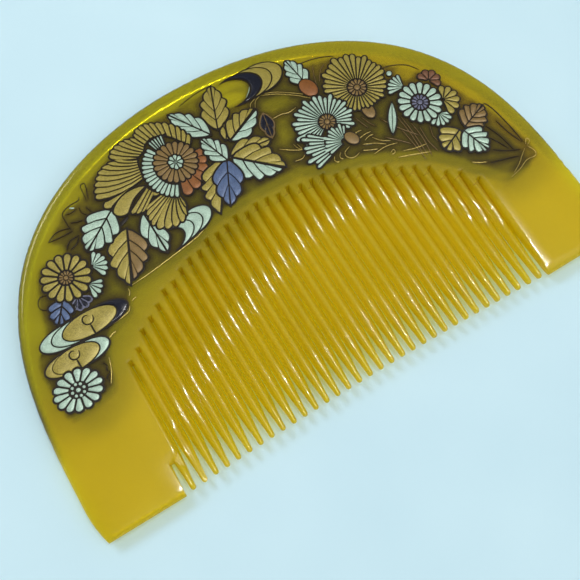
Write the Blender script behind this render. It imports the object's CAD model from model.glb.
"""Looks of a half-round hair comb: translucent amber plastic with raised lacquer ornament.

Lengths are in millimetres until a mesh is finished. A point (u, v) of the comb's face has u along
the row of teeth and v upwards from the guards' feet.
"""

import math

import bmesh
import bpy
import numpy as np
from mathutils import Matrix, Vector
from mathutils.geometry import delaunay_2d_cdt


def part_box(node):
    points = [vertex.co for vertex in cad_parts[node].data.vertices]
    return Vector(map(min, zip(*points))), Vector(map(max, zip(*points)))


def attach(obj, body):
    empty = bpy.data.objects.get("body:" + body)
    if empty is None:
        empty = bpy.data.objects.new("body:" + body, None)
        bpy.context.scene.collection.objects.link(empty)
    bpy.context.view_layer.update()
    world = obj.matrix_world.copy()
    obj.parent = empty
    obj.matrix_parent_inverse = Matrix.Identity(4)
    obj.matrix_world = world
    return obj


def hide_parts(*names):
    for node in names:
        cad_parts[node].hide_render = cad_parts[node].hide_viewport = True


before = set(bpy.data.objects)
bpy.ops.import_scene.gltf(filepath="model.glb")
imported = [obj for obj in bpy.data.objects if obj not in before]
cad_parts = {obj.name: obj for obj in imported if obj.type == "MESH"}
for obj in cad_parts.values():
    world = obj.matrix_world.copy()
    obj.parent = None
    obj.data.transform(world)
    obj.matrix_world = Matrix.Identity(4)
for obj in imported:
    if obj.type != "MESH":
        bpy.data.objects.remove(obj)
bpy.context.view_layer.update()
MM = 0.001

# Sizes of the comb, the first two from the frame and the others as in the part
LOW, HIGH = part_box("comb_body")
BODY_W = (HIGH.x - LOW.x) / MM
BODY_H = (HIGH.y - LOW.y) / MM
SPINE_T = 4.2
CROWN_T = 3.2
TIP_T = 1.8
TIP_RISE = 0.9
CROWN_RISE = 0.3
RIM_ROUND = 1.3
WIDEST_H = 6
TOE_IN = 1
ACROSS_N = 2.04
UP_N = 3.07

TOOTH_COUNT = 33
TOOTH_PITCH = 2.108
SLOT_W = 1.05
ROOT_H = 36.5
ROOT_SIDE_H = 20.9
ROOT_WANDER = 0.35
FIRST_SLOT_H = 5.7
TIP_LIFT = 1.15
TIP_SIDE_LIFT = 0.3
POINT_L = 5.5
TIP_W = 0.8

SEAT_GAP = 0.03
PLATE_T = 0.14
RELIEF_T = 0.3
OUTLINE_W = 0.19
PIECE_GAP = 0.04

# Columns: height, rise of the back, thickness
SECTIONS = np.array([
    (0.000 * BODY_H, TIP_RISE, TIP_T),
    (0.190 * BODY_H, TIP_RISE * 0.33, TIP_T + 0.50 * (SPINE_T - TIP_T)),
    (0.370 * BODY_H, 0, TIP_T + 0.83 * (SPINE_T - TIP_T)),
    (0.560 * BODY_H, 0, TIP_T + 0.98 * (SPINE_T - TIP_T)),
    (0.750 * BODY_H, 0, SPINE_T),
    (0.885 * BODY_H, 0, TIP_T + 0.92 * (SPINE_T - TIP_T)),
    (BODY_H, CROWN_RISE, CROWN_T),
])


def sine(a):
    return math.sin(math.radians(a))


def cosine(a):
    return math.cos(math.radians(a))


def around(u, v, half_u, half_v, step):
    """The points of an oval, one for every so many degrees."""
    return [(u + half_u * cosine(a), v + half_v * sine(a)) for a in range(0, 360, step)]


def slopes(y):
    """Slopes at the sections for a smooth curve through the values y that overshoots none of them."""
    step = np.diff(SECTIONS[:, 0])
    d = np.diff(y) / step
    found = np.zeros(len(y))
    found[0], found[-1] = d[0], d[-1]
    for k in range(1, len(y) - 1):
        if d[k - 1] * d[k] > 0:
            a, b = 2 * step[k] + step[k - 1], step[k] + 2 * step[k - 1]
            found[k] = (a + b) / (a / d[k - 1] + b / d[k])
    return found


SLOPES = [slopes(SECTIONS[:, column]) for column in (0, 1, 2)]


def curve(v, column):
    """A column of the sections at height v, along a smooth curve."""
    at, y = SECTIONS[:, 0], SECTIONS[:, column]
    v = np.clip(v, 0, BODY_H)
    k = np.clip(np.searchsorted(at, v) - 1, 0, len(at) - 2)
    long = at[k + 1] - at[k]
    t = (v - at[k]) / long
    start, end = SLOPES[column][k] * long, SLOPES[column][k + 1] * long
    return (y[k] * (1 + 2 * t) * (1 - t) ** 2 + y[k + 1] * t * t * (3 - 2 * t)
            + start * t * (1 - t) ** 2 - end * t * t * (1 - t))


def back_z(v):
    return curve(v, 1)


def front_z(v):
    return curve(v, 1) + curve(v, 2)


def half_w(v, e=0.0):
    """Half the width of the outline at height v, drawn in by e all round."""
    low = BODY_W / 2 - e - TOE_IN * ((WIDEST_H - v) / WIDEST_H) ** 2
    share = np.clip((v - WIDEST_H) / (BODY_H - e - WIDEST_H), 0, 1)
    high = (BODY_W / 2 - e) * np.maximum(0, 1 - share**UP_N) ** (1 / ACROSS_N)
    return np.where(v < WIDEST_H, low, high)


# The comb's body

ROOT_HALF = TOOTH_COUNT * TOOTH_PITCH / 2
ROOT_DROP = ROOT_H - ROOT_SIDE_H
ROOT_R = (ROOT_HALF**2 + ROOT_DROP**2) / (2 * ROOT_DROP)
TOOTH_HALF = (TOOTH_PITCH - SLOT_W) / 2
# Rounding of the teeth's long edges: its reach across, its depth, and the crown of a tooth's top
EDGE_REACH = 0.34
EDGE_DROP = 0.30
TOP_CROWN = 0.05
# The edges are sharper near the roots, over this length, and on the guards
ROOT_FADE_L = 3.5
GUARD_EDGE = 0.35
# The plastic stays this far above the surface where it rests on it
REST_GAP = 0.03
# Edges with a sharper turn than this, in degrees, are shaded as edges: on the comb and on the ornament
SHARP = 50
LACQUER_SHARP = 55
# The teeth's ends lie below this height, the roots and the ornament above it
UPPER_H = 12

# How far a tooth's sides swell halfway down, which narrows the slots there. Columns: height, swell
SIDE_SWELL = np.array([(0, 0.05), (2.5, 0.1), (5, 0.28), (8, 0.44), (12, 0.485), (60, 0.485)])
# Share of a tooth's thickness at which they swell most. Columns: height, share
SWELL_AT = np.array([(2, 0.5), (7, 0.63), (13, 0.77), (22, 0.8), (60, 0.8)])
# Share of the swell that is missing at a slot's upper end
END_STEEP = 0.35

# The hollow filed into the tops of the teeth begins with a step. Columns: u, its distance below the roots
FILED_AT = np.array([
    (-36, 15), (-18.5, 14.5), (-10, 13), (-1.4, 10.9), (7, 8.2), (17.7, 6.4), (26, 8), (36, 9),
])
# Range of that distance between single teeth, the step's length and its depth
FILED_RANGE = 1.6
FILED_L = 4.6
FILED_DEPTH = 0.62
# Share of the depth that is gone again over a length below the step
FILED_BACK = 0.7
FILED_BACK_L = 13
# The same for the fainter step above the tips, which has a height above the feet
LOW_FILED_AT = 10.0
LOW_FILED_RANGE = 4
LOW_FILED_L = 4.5
LOW_FILED_DEPTH = 0.3
# It is full left of the first u and has only this share left at the second
LOW_FILED_FADE = (-14, 4, 0.3)

# Rows of points on a tooth: heights above its tip, then steps, which end this far below the slot's end
TIP_LEVELS = (0, 0.02, 0.08, 0.18, 0.3, 0.42, 0.8, 1.6, 2.6, 3.8)
LEVEL_STEP = 1.1
LEVEL_MAX = 60
LEVEL_GAP = 0.35
# Points across a tooth, as shares of half its width
ACROSS = (-0.86, -0.62, -0.32, 0, 0.32, 0.62, 0.86)
# Distances from the outline of the rings of points that round the rim, and the step of the plain grid
RINGS = (0.04, 0.15, 0.35, 0.62, 0.95, RIM_ROUND)
GRID_STEP = 0.42
# The grid is this many times as wide below this height
SPARSE = 4
SPARSE_H = 17
# Its points keep these distances from the outline and from the slots
RIM_CLEAR = 0.03
SLOT_CLEAR = 0.045
# Heights of the first points beside the slots at the guards, and of those on the outline's lower part
GUARD_LEVELS = [-1.0, 0.0, 0.1, 0.3, 0.6, 1.0]
RIM_LEVELS = (0.35, 0.8, 1.6, 3, 4.5, 6, 8)
# Height at which the outline's upper part begins, and its number of steps
UPPER_RIM_H = 10
UPPER_RIM_STEPS = 46
FOOT_STEP = 1.5
# What is cut off the corners of a slot's upper end, and how far its middle rises
CORNER_CUT = 0.12
END_RISE = 0.02


def slot_u(i):
    return (i - TOOTH_COUNT / 2) * TOOTH_PITCH


def root_arc(u):
    return ROOT_H - ROOT_R + np.sqrt(ROOT_R**2 - np.minimum(np.abs(u), ROOT_HALF) ** 2)


def slot_top(i):
    if i == 0:
        return FIRST_SLOT_H
    return float(root_arc(slot_u(i))) + ROOT_WANDER * sine(i * 137)


def smooth_step(x):
    """A smooth step from 0 to 1 over a unit of length about 0."""
    t = np.clip(x + 0.5, 0, 1)
    return t * t * (3 - 2 * t)


def scatter(k):
    """A number from 0 to 1 for each whole number, without a pattern but the same in every run."""
    found = np.sin(k * 12.9898) * 43758.5453
    return found - np.floor(found)


def filed(u, v):
    """(how much has been filed off the teeth's tops, how rough that left them), different on each tooth."""
    odd = scatter(np.floor(u / TOOTH_PITCH + TOOTH_COUNT / 2))
    below = root_arc(u) - v
    at = np.interp(u, *FILED_AT.T) + FILED_RANGE * (odd - 0.5)
    high = smooth_step((below - at) / FILED_L)
    back = 1 - FILED_BACK * np.clip((below - at - FILED_L / 2) / FILED_BACK_L, 0, 1)
    upper = FILED_DEPTH * (0.75 + 0.5 * odd) * high * back
    low_at = LOW_FILED_AT + LOW_FILED_RANGE * (0.5 - odd)
    low = smooth_step((low_at - v) / LOW_FILED_L)
    start, end, least = LOW_FILED_FADE
    lower = LOW_FILED_DEPTH * (1.6 * odd - 0.3) * low * np.clip((end - u) / (end - start), least, 1)
    # the first slot is short, so the tooth beside it is one with the guard and stays whole
    first = np.clip((u + ROOT_HALF) / TOOTH_PITCH - 0.5, 0, 1)
    inside = np.clip(below / 3, 0, 1) * (np.abs(u) < ROOT_HALF) * first
    rough = 4 * (high * (1 - high) + low * (1 - low))
    return (upper + lower) * inside, np.clip(rough, 0, 1) * inside


def tip_v(u):
    return TIP_SIDE_LIFT + (TIP_LIFT - TIP_SIDE_LIFT) * (1 - (u / ROOT_HALF) ** 2)


def tooth_half(h):
    """Half the width of a tooth at a height above its tip."""
    round_r = TIP_W / 2
    if h < round_r:
        return round_r * math.sqrt(max(0, 1 - (1 - h / round_r) ** 2))
    if h < POINT_L:
        return round_r + (TOOTH_HALF - round_r) * (h - round_r) / (POINT_L - round_r)
    return TOOTH_HALF


def tooth_levels(tip, top):
    """Heights of the rows of points on one tooth."""
    first = math.ceil((tip + POINT_L - 0.3) / LEVEL_STEP)
    steps = [k * LEVEL_STEP for k in range(first, LEVEL_MAX)]
    return [tip + h for h in TIP_LEVELS] + [v for v in steps if v < top - LEVEL_GAP]


def slot_side(i, side):
    """One side of a slot from below the tips up to the slot's end."""
    if i == (TOOTH_COUNT if side > 0 else 0):
        rows = GUARD_LEVELS + [LEVEL_STEP * k for k in range(2, LEVEL_MAX)]
        return [(side * SLOT_W / 2, v) for v in rows if v < slot_top(i) - LEVEL_GAP]
    mid = TOOTH_PITCH / 2
    tip = tip_v(slot_u(i) + side * mid)
    rows = tooth_levels(tip, slot_top(i))
    return [(side * (mid + 0.01), -1.0)] + [(side * (mid - tooth_half(v - tip)), v) for v in rows]


def slot_outline(i):
    end = slot_top(i)
    corner = SLOT_W / 2
    across = [(-corner, end - CORNER_CUT), (-corner + CORNER_CUT, end), (0, end + END_RISE)]
    across += [(corner - CORNER_CUT, end), (corner, end - CORNER_CUT)]
    points = slot_side(i, -1) + across + slot_side(i, 1)[::-1]
    return [(slot_u(i) + u, v) for u, v in points]


def ring(e):
    """A closed line at a distance inside the comb's outline."""
    low = [e] + [v for v in RIM_LEVELS if v > e + 0.2]
    rise = [UPPER_RIM_H + (BODY_H - e - UPPER_RIM_H) * sine(90 * k / UPPER_RIM_STEPS)
            for k in range(UPPER_RIM_STEPS + 1)]
    right = [(float(half_w(np.array(v), e)), v) for v in low + rise]
    foot_u = right[0][0]
    count = round(2 * foot_u / FOOT_STEP)
    foot = [(-foot_u + 2 * foot_u * k / count, e) for k in range(1, count)]
    return right + [(-u, v) for u, v in right[-2::-1]] + foot


def distance(points, lines):
    """Distance from each point to the nearest of some lines, each an array of points."""
    best = np.full(len(points), 1e9)
    for line in lines:
        for start, end in zip(line, line[1:]):
            way = end - start
            t = np.clip(((points - start) @ way) / max(way @ way, 1e-12), 0, 1)
            best = np.minimum(best, np.hypot(*(points - start - t[:, None] * way).T))
    return best


def closed(loop):
    """A loop as an array that ends where it starts."""
    return np.array(loop + loop[:1])


def ccw(points):
    area = sum(a[0] * b[1] - b[0] * a[1] for a, b in zip(points, points[1:] + points[:1]))
    return points if area > 0 else points[::-1]


# What delaunay_2d_cdt gives: triangles inside the loops, or the undivided faces between them
TRIANGLES = 1
FACES = 4


def cut_up(loops, loose, kind):
    """(points, faces, numbers of the loops around each face) for closed loops and loose points."""
    points = [Vector(p) for loop in loops for p in loop] + [Vector(p) for p in loose]
    outlines, start = [], 0
    for loop in loops:
        outlines.append(list(range(start, start + len(loop))))
        start += len(loop)
    found, _, faces, _, _, owners = delaunay_2d_cdt(points, [], outlines, kind, 1e-5, True)
    return found, faces, owners


def body_points():
    """The points inside the outline between which the two faces are drawn."""
    points = [p for e in RINGS for p in ring(e)]
    for i in range(TOOTH_COUNT):
        middle = slot_u(i) + TOOTH_PITCH / 2
        tip = tip_v(middle)
        for v in tooth_levels(tip, max(slot_top(i), slot_top(i + 1)) + 0.8):
            half = tooth_half(v - tip)
            if half > 0.05:
                points += [(middle + share * half, v) for share in ACROSS]
    for i in range(int(BODY_W / GRID_STEP)):
        for j in range(int(BODY_H / GRID_STEP)):
            u = -BODY_W / 2 + (i + 0.5 * (j % 2)) * GRID_STEP
            v = j * GRID_STEP
            in_teeth = abs(u) < ROOT_HALF + 0.8 and v < root_arc(u) + 0.4
            left_out = v < SPARSE_H and (i % SPARSE or j % SPARSE)
            if not in_teeth and not left_out:
                points.append((u, v))
    return points


def body_face(outline, slots):
    """(points, triangles) of the comb seen from the front."""
    loose = np.array(body_points())
    keep = np.abs(loose[:, 0]) < half_w(loose[:, 1]) - 0.02
    keep &= distance(loose, [closed(outline)]) > RIM_CLEAR
    keep &= distance(loose, [np.array(s) for s in slots]) > SLOT_CLEAR
    loops = [ccw(loop) for loop in [outline] + slots]
    flat, tris, owners = cut_up(loops, [tuple(p) for p in loose[keep]], TRIANGLES)
    tris = [t for t, own in zip(tris, owners) if list(own) == [0]]
    used = sorted({k for t in tris for k in t})
    place = {k: n for n, k in enumerate(used)}
    return np.array([(p.x, p.y) for p in flat])[used], [[place[k] for k in t] for t in tris]


def outward(flat, border):
    """Direction out of the border at each of its points."""
    out = np.zeros((len(flat), 2))
    for a, b in border:
        d = flat[b] - flat[a]
        side = np.array((d[1], -d[0])) / max(np.hypot(*d), 1e-9)
        out[a] += side
        out[b] += side
    return out / np.maximum(np.hypot(*out.T), 1e-9)[:, None]


def rounded(gap, reach):
    """Height of a quarter circle, from 0 at its edge to 1 at its reach."""
    return np.sqrt(np.clip(1 - (1 - np.minimum(gap / reach, 1)) ** 2, 0, 1))


def body_mesh():
    """(points, polygons, roughness of the points) of the comb."""
    outline = ring(0)
    slots = [slot_outline(i) for i in range(TOOTH_COUNT + 1)]
    flat, tris = body_face(outline, slots)
    count = len(flat)

    to_rim = distance(flat, [closed(outline)])
    to_rim[to_rim < 2e-4] = 0
    to_slot = distance(flat, [np.array(s) for s in slots])
    rim = rounded(to_rim, RIM_ROUND)
    edge = 1 - rounded(to_slot, EDGE_REACH)
    crown = (1 - np.minimum(to_slot / TOOTH_HALF, 1)) ** 2
    u, v = flat.T
    middle = (front_z(v) + back_z(v)) / 2
    half = (front_z(v) - back_z(v)) / 2
    fade = np.clip((root_arc(u) - v - 0.2) / ROOT_FADE_L, 0.1, 1)
    fade = np.where(np.abs(u) > ROOT_HALF, np.minimum(fade, GUARD_EDGE), fade)
    drop = (EDGE_DROP * edge + TOP_CROWN * crown) * fade
    depth, rough = filed(u, v)
    front = middle + np.maximum((half - drop - depth) * rim, 0)
    back = np.maximum(middle - np.maximum(half - drop, 0) * rim, REST_GAP)

    edges = {(a, b) for t in tris for a, b in zip(t, t[1:] + t[:1])}
    border = [(a, b) for a, b in edges if (b, a) not in edges]
    out = outward(flat, border)
    verts = [(p[0], p[1], z) for side in (front, back) for p, z in zip(flat, side)]
    swell = {}
    for k in sorted({k for edge in border for k in edge}):
        if front[k] - back[k] > 0.3:
            swell[k] = len(verts)
            far = np.interp(v[k], *SIDE_SWELL.T)
            p = flat[k] + out[k] * far * (1 - END_STEEP * abs(out[k][1]) * (v[k] > UPPER_H))
            share = np.interp(v[k], *SWELL_AT.T)
            verts.append((p[0], p[1], back[k] + (front[k] - back[k]) * share))
    polys = [tuple(t) for t in tris] + [tuple(k + count for k in t[::-1]) for t in tris]
    for a, b in border:
        if a in swell and b in swell:
            polys.append((b, a, swell[a], swell[b]))
            polys.append((swell[b], swell[a], a + count, b + count))
        else:
            polys.append((b, a, a + count, b + count))
    marks = np.zeros(len(verts))
    marks[:count] = rough
    return verts, polys, marks


def inside_any(points, loops):
    """Which points lie inside one of some closed loops."""
    found = np.zeros(len(points), bool)
    for loop in loops:
        line = np.array(loop)
        low, high = line.min(0), line.max(0)
        near = np.flatnonzero(((points > low) & (points < high)).all(1))
        if len(near) == 0:
            continue
        x, y = points[near].T
        odd = np.zeros(len(near), bool)
        for (x0, y0), (x1, y1) in zip(line, np.roll(line, -1, 0)):
            if y0 != y1:
                odd ^= ((y0 > y) != (y1 > y)) & (x < (x1 - x0) * (y - y0) / (y1 - y0) + x0)
        found[near[odd]] = True
    return found


def upper_distance(points, lines):
    """Distance to the nearest line for the points above UPPER_H. The others count as far away."""
    found = np.full(len(points), FAR)
    upper = points[:, 1] > UPPER_H
    found[upper] = distance(points[upper], lines)
    return found


def wash_of(verts):
    """How strongly the dark wash under the ornament tints each point of the body, from 0 to 1."""
    points = np.array(verts)[:, :2]
    u, v = points.T
    shapes = [s for name in ORDER for s in COVERS[name]]
    thin = [np.array(bent(line)) for rows in LINES.values() for _, *line in rows]
    gap = upper_distance(points, [closed(s) for s in shapes] + thin)
    gap[inside_any(points, shapes)] = 0
    strong = np.clip((WASH_REACH - gap) / (WASH_REACH - WASH_FULL), 0, 1)
    faint = np.clip(1 - gap / FAINT_REACH, 0, 1)
    band = bent(BAND + BAND[:1])
    soft = np.clip(upper_distance(points, [np.array(band)]) / BAND_SOFT, 0, 1)
    within = np.where(inside_any(points, [band]), soft, 0)
    wash = np.maximum((BAND_WASH + (1 - BAND_WASH) * strong) * within, OUTER_WASH * strong)
    wash = np.maximum(wash, FAINT_WASH * faint * faint * (3 - 2 * faint))
    for middle_u, middle_v, half_u, half_v, kept in CLEARINGS:
        reach = np.hypot((u - middle_u) / half_u, (v - middle_v) / half_v)
        wash *= kept + (1 - kept) * np.clip((reach - 0.75) / 0.25, 0, 1)
    to_rim = upper_distance(points, [closed(ring(0))])
    near = np.clip(2 - 2 * to_rim / RIM_LINE_W, 0, 1)
    rim_line = RIM_WASH * near * np.clip((v - RIM_LINE_H) / RIM_LINE_RISE, 0, 1)
    return np.maximum(wash, rim_line)


def olive_of(verts):
    """How much greener the plastic is than at the guards, from 0 to 1: above the teeth on the left."""
    u, v = np.array(verts)[:, :2].T
    above = np.clip((v - UPPER_H) / OLIVE_RISE, 0, 1) * np.clip((v - root_arc(u)) / OLIVE_ROOT_RISE, 0, 1)
    return above * np.clip((OLIVE_END - u) / OLIVE_END, 0, 1)


def finish_mesh(name, verts, polys):
    """A mesh in metres in the frame, from points (u, v, z) in millimetres."""
    mesh = bpy.data.meshes.new(name)
    mesh.from_pydata([(u * MM, (v - BODY_H / 2) * MM, z * MM) for u, v, z in verts], [], polys)
    mesh.validate()
    obj = bpy.data.objects.new(name, mesh)
    bpy.context.scene.collection.objects.link(obj)
    return obj


def build_body():
    """The comb, with the washes and the filed places as attributes of its points."""
    verts, polys, marks = body_mesh()
    obj = finish_mesh("comb_plastic", verts, polys)
    for name, values in (("wash", wash_of(verts)), ("olive", olive_of(verts)), ("rasp", marks)):
        obj.data.attributes.new(name, "FLOAT", "POINT").data.foreach_set("value", values)
    bm = bmesh.new()
    bm.from_mesh(obj.data)
    bmesh.ops.remove_doubles(bm, verts=bm.verts, dist=2e-7)
    bmesh.ops.recalc_face_normals(bm, faces=bm.faces)
    bm.to_mesh(obj.data)
    bm.free()
    obj.data.shade_smooth()
    obj.data.set_sharp_from_angle(angle=math.radians(SHARP))
    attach(obj, "root")
    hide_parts("comb_body")
    return obj


# The ornament's tables, in the part's own units and order

# Columns: node, metal, middle u and v, height as a share of width, first and last angle, petals,
# inner radius, outer radius at the first and at the last angle, width of the dark veins
FANS = [
    ("silver_daisy_left", "silver", -41.9, 23.3, 0.82, 6, 366, 14, 1.7, 4.1, 4.1, 0.3),
    ("gold_daisy_left", "gold", -35, 41.2, 1.0, 0, 360, 15, 1.5, 4.2, 4.2, 0.28),
    ("silver_daisy_right", "silver", 34.1, 38, 1.04, 0, 360, 16, 1.8, 3.9, 3.9, 0.26),
    ("silver_fan_left_low", "silver", -32.3, 38.4, 1, -100, -8, 4, 0.4, 2.9, 2.3, 0.17),
    ("silver_fan_left_high", "silver", -30.4, 40.8, 1, -72, 66, 6, 0.3, 2.8, 2.5, 0.15),
    ("black_fan_left", "black", -34.8, 37.3, 1, -150, -30, 4, 0.4, 2.3, 2.3, 0.16),
    ("silver_fan_right", "silver", 33.2, 42.1, 1, 72, 182, 6, 0.3, 2.6, 2.9, 0.2),
    ("silver_half_flower_right", "silver", 35.7, 34.4, 1, 196, 344, 6, 0.3, 2.5, 2.3, 0.18),
    ("gold_half_flower_right", "gold", 37.9, 36.3, 1, -104, 78, 6, 0.4, 3.2, 2.7, 0.16),
    ("copper_flower_right", "rust", 37.9, 40.9, 1, -70, 140, 5, 0.4, 2.2, 2.1, 0.12),
    ("peony_heart", "silver", -9, 50.4, 1.12, 0, 360, 8, 0.35, 1.25, 1.25, 0.16),
    ("peony_copper_ring", "umber", -9, 50.4, 1.02, 0, 360, 20, 1.45, 3.9, 3.9, 0.14),
    ("peony_copper_lobes", "copper", -9, 50.4, 1, -107, 2, 6, 3.9, 6.9, 4.9, 0.14),
    ("peony_silver_petals", "silver", -9, 50, 1, 118, 246, 15, 4.1, 6, 6.3, 0.2),
    ("peony_silver_petals", "silver", -9.6, 50.4, 1, 80, 108, 5, 4.1, 6, 6, 0.24),
    ("gold_thistle", "gold", 26.1, 46.4, 1, 10, 90, 8, 1.8, 5.8, 7.2, 0.2),
    ("gold_thistle", "gold", 26.1, 46.4, 1, 90, 172, 8, 1.8, 7.2, 5.5, 0.2),
    ("gold_thistle", "gold", 26.1, 46.4, 1, 172, 270, 9, 1.8, 5.2, 4.2, 0.22),
    ("gold_thistle", "gold", 26.1, 46.4, 1, 270, 370, 9, 1.8, 4.2, 5.8, 0.22),
    ("silver_chrysanthemum", "silver", 17.8, 43.3, 1, -52, 90, 13, 1.6, 4.4, 5.4, 0.24),
    ("silver_chrysanthemum", "silver", 17.8, 43.3, 1, 90, 218, 13, 1.6, 5.4, 6.3, 0.26),
    ("silver_fan_flower", "silver", 18.4, 38.4, 1, 136, 199, 9, 3.7, 7, 7, 0.24),
    ("silver_fan_flower", "silver", 18.4, 38.4, 1, 56, 198, 11, 0.7, 3.2, 3.8, 0.2),
]

# Petals side by side, all of the peony. Columns: line of tips, line of feet, number, width of the veins,
# how far their sides bow to the left of the way to the tips, as a share of their length
BLADES = [("peony_gold_petals", "gold", *row) for row in (
    ([(-4.2, 53.2), (-4.9, 55.4), (-5.9, 57.3), (-7.4, 58.7), (-8.6, 59.3)],
     [(-5.6, 51.6), (-6.2, 53.4), (-7.2, 55), (-8.5, 56.4)], 6, 0.22, 0),
    ([(-8.6, 59.4), (-9.8, 59.9), (-11.2, 60.1), (-12.4, 59.6), (-13, 58.6)],
     [(-8.5, 56.4), (-9.4, 56.7), (-10.6, 56.9), (-12, 56.3)], 5, 0.22, 0),
    ([(-12.9, 58.5), (-14, 58.9), (-15.4, 59.1), (-17, 58.7), (-18.2, 58), (-18.6, 56.9)],
     [(-12, 56.3), (-12.6, 55.4), (-13.5, 54.9), (-14.5, 54.5)], 6, 0.24, 0.04),
    ([(-17.2, 56.3), (-19, 56.5), (-20.6, 56.2), (-22, 55.3), (-22.8, 54.2), (-23.6, 53), (-24.1, 51.9),
      (-24.1, 50.9)],
     [(-14.5, 54.3), (-14.9, 53.1), (-15.1, 51.8), (-15.4, 50.5)], 8, 0.24, 0.07),
    ([(-23.8, 49.9), (-23.9, 49), (-23.3, 48.3)], [(-18.4, 50.05), (-19.4, 49.85)], 1, 0.24, 0),
    ([(-20.4, 46), (-19.8, 45.4), (-18.9, 45), (-17.8, 45)],
     [(-15.7, 48.7), (-15.3, 48), (-14.9, 47.2)], 3, 0.22, 0),
    ([(-17.3, 45.7), (-18, 44.6), (-18.2, 43.2), (-18.1, 41.6)],
     [(-13.4, 46.4), (-13, 45.7), (-12.9, 45)], 4, 0.22, 0),
    ([(-18, 41.4), (-16.6, 40.2), (-14.8, 39.7), (-13, 39.9), (-11.9, 40.9), (-11.2, 42.9)],
     [(-12.9, 45), (-12.6, 44.6), (-12.1, 44.3), (-11.4, 44.2)], 6, 0.24, -0.05),
)]

# Its single petals. Columns: points of a smooth closed outline, width of the veins beside it
FREE = [("peony_gold_petals", "gold", *row) for row in (
    ([(-15.6, 49.1), (-17, 49.6), (-19, 49.7), (-21, 49.1), (-22.7, 47.7), (-22.2, 46.4), (-20.8, 46.1),
      (-19.8, 46.9), (-18.5, 48), (-16.8, 48.7)], 0.22),
    ([(-15.4, 46.8), (-14.8, 46.5), (-13.9, 46.7), (-14.3, 47.2), (-15.1, 47.2)], 0.1),
)]

# Petals of uneven length: by how much of their length they differ
RAGGED = {"silver_chrysanthemum": 0.08, "silver_fan_flower": 0.1, "gold_thistle": 0.05}

# The metal of a flower's heart where it isn't the petals' own
HEARTS = {"gold_daisy_left": "umber", "silver_daisy_right": "dusk"}

# Motifs whose outline and veins are light
LIGHT_VEINED = {"black_leaf_mid": "reed", "black_fan_left": "dusk"}

# Columns: node, metal, foot u and v, tip u and v, width, lobes on a side,
# side (0 for both, 1 for the left of the way to the tip, -1 for the right), width of the veins
LEAVES = [
    ("blue_leaf_left", "blue", -37.2, 38, -39.7, 34.5, 3.8, 3, 0, 0.26),
    ("silver_leaf_left", "silver", -22.9, 48.1, -29.7, 43.6, 5.8, 4, 0, 0.28),
    ("gold_half_leaf_left", "gold", -22.2, 43.7, -26.2, 34.5, 6.4, 4, -1, 0.24),
    ("copper_half_leaf_left", "umber", -22.2, 43.5, -25.6, 35.2, 5.8, 4, 1, 0.2),
    ("silver_veined_leaf", "silver", -18.4, 44.6, -18.3, 36.6, 4, 3, 0, 0.28),
    ("silver_leaf_top", "silver", -1.2, 52, -5.6, 59.3, 3.7, 4, 0, 0.26),
    ("silver_leaf_mid", "silver", -1.1, 46.1, -3, 51.9, 3.5, 4, 0, 0.24),
    ("gold_leaf_top", "gold", 0.5, 52.2, 3.7, 60.5, 4.6, 4, 0, 0.22),
    ("gold_sprig_mid", "gold", 0.7, 49.6, 2.8, 52.6, 2, 2, 0, 0.2),
    ("gold_half_leaf_mid", "gold", 1.4, 49.2, 8, 52.3, 4.8, 4, 1, 0.22),
    ("silver_half_leaf_mid", "silver", 1.4, 49, 8.2, 52, 3.8, 3, -1, 0.22),
    ("gold_leaf_right", "gold", -0.1, 46.4, 7.3, 45.6, 3.8, 3, 0, 0.22),
    ("gold_half_leaf_right", "gold", 0, 46, 6.9, 39.6, 6.2, 4, 1, 0.2),
    ("silver_half_leaf_right", "silver", -0.1, 45.85, 6.4, 39.7, 6, 4, -1, 0.26),
    ("blue_leaf_mid", "blue", -1.2, 46, -4.9, 38.4, 4.8, 3, 0, 0.2),
    ("gold_half_leaf_low", "gold", -1.7, 46.6, -7, 37.9, 6.6, 5, -1, 0.22),
    ("black_leaf_mid", "black", 8.9, 50.5, 7.9, 45.9, 2.1, 2, 0, 0.14),
    ("silver_bud", "silver", 18.7, 51.8, 18, 57.9, 3.5, 4, 0, 0.22),
    ("silver_dagger_leaf", "silver", 26.5, 35.3, 29.7, 40.5, 1.3, 1, 0, 0.1),
    ("gold_leaf_right_end", "gold", 37, 29.8, 32.7, 28, 5.2, 3, 0, 0.24),
    ("copper_leaf_right_end", "umber", 38.3, 29.9, 43.3, 31.7, 4.8, 4, 0, 0.2),
    ("silver_leaf_right_end", "silver", 37.6, 29.3, 39.2, 24.1, 4.8, 4, 0, 0.26),
]

# Columns: node, metal, middle u and v, half width, half height, turn, step from scale to scale,
# first and last scale (0 is the disc)
SWIRLS = [
    ("upper_swirl", "gold", -35.2, 32.2, 4.8, 1.97, 0, 2.1, 0, 0),
    ("upper_swirl_scales", "silver", -35.2, 32.2, 4.8, 1.97, 0, 2.1, -2, -1),
    ("upper_swirl_shade", "black", -35.2, 32.2, 4.8, 1.97, 0, 2.1, 1, 1),
    ("lower_swirl", "gold", -39.8, 28.1, 4.1, 1.82, 0, 1.4, -1, 0),
    ("lower_swirl_scale", "silver", -39.8, 28.1, 4.1, 1.82, 0, 1.9, 1, 1),
    ("silver_wave", "silver", -17.6, 37.8, 3.6, 2.1, 12, 2, 1, 3),
    ("black_moon", "black", 5.4, 57.3, 4.6, 3, 0, 2.2, 1, 1),
    ("gold_scales", "gold", 5.4, 57.3, 4.6, 3, 0, 2.2, 2, 3),
]

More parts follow.
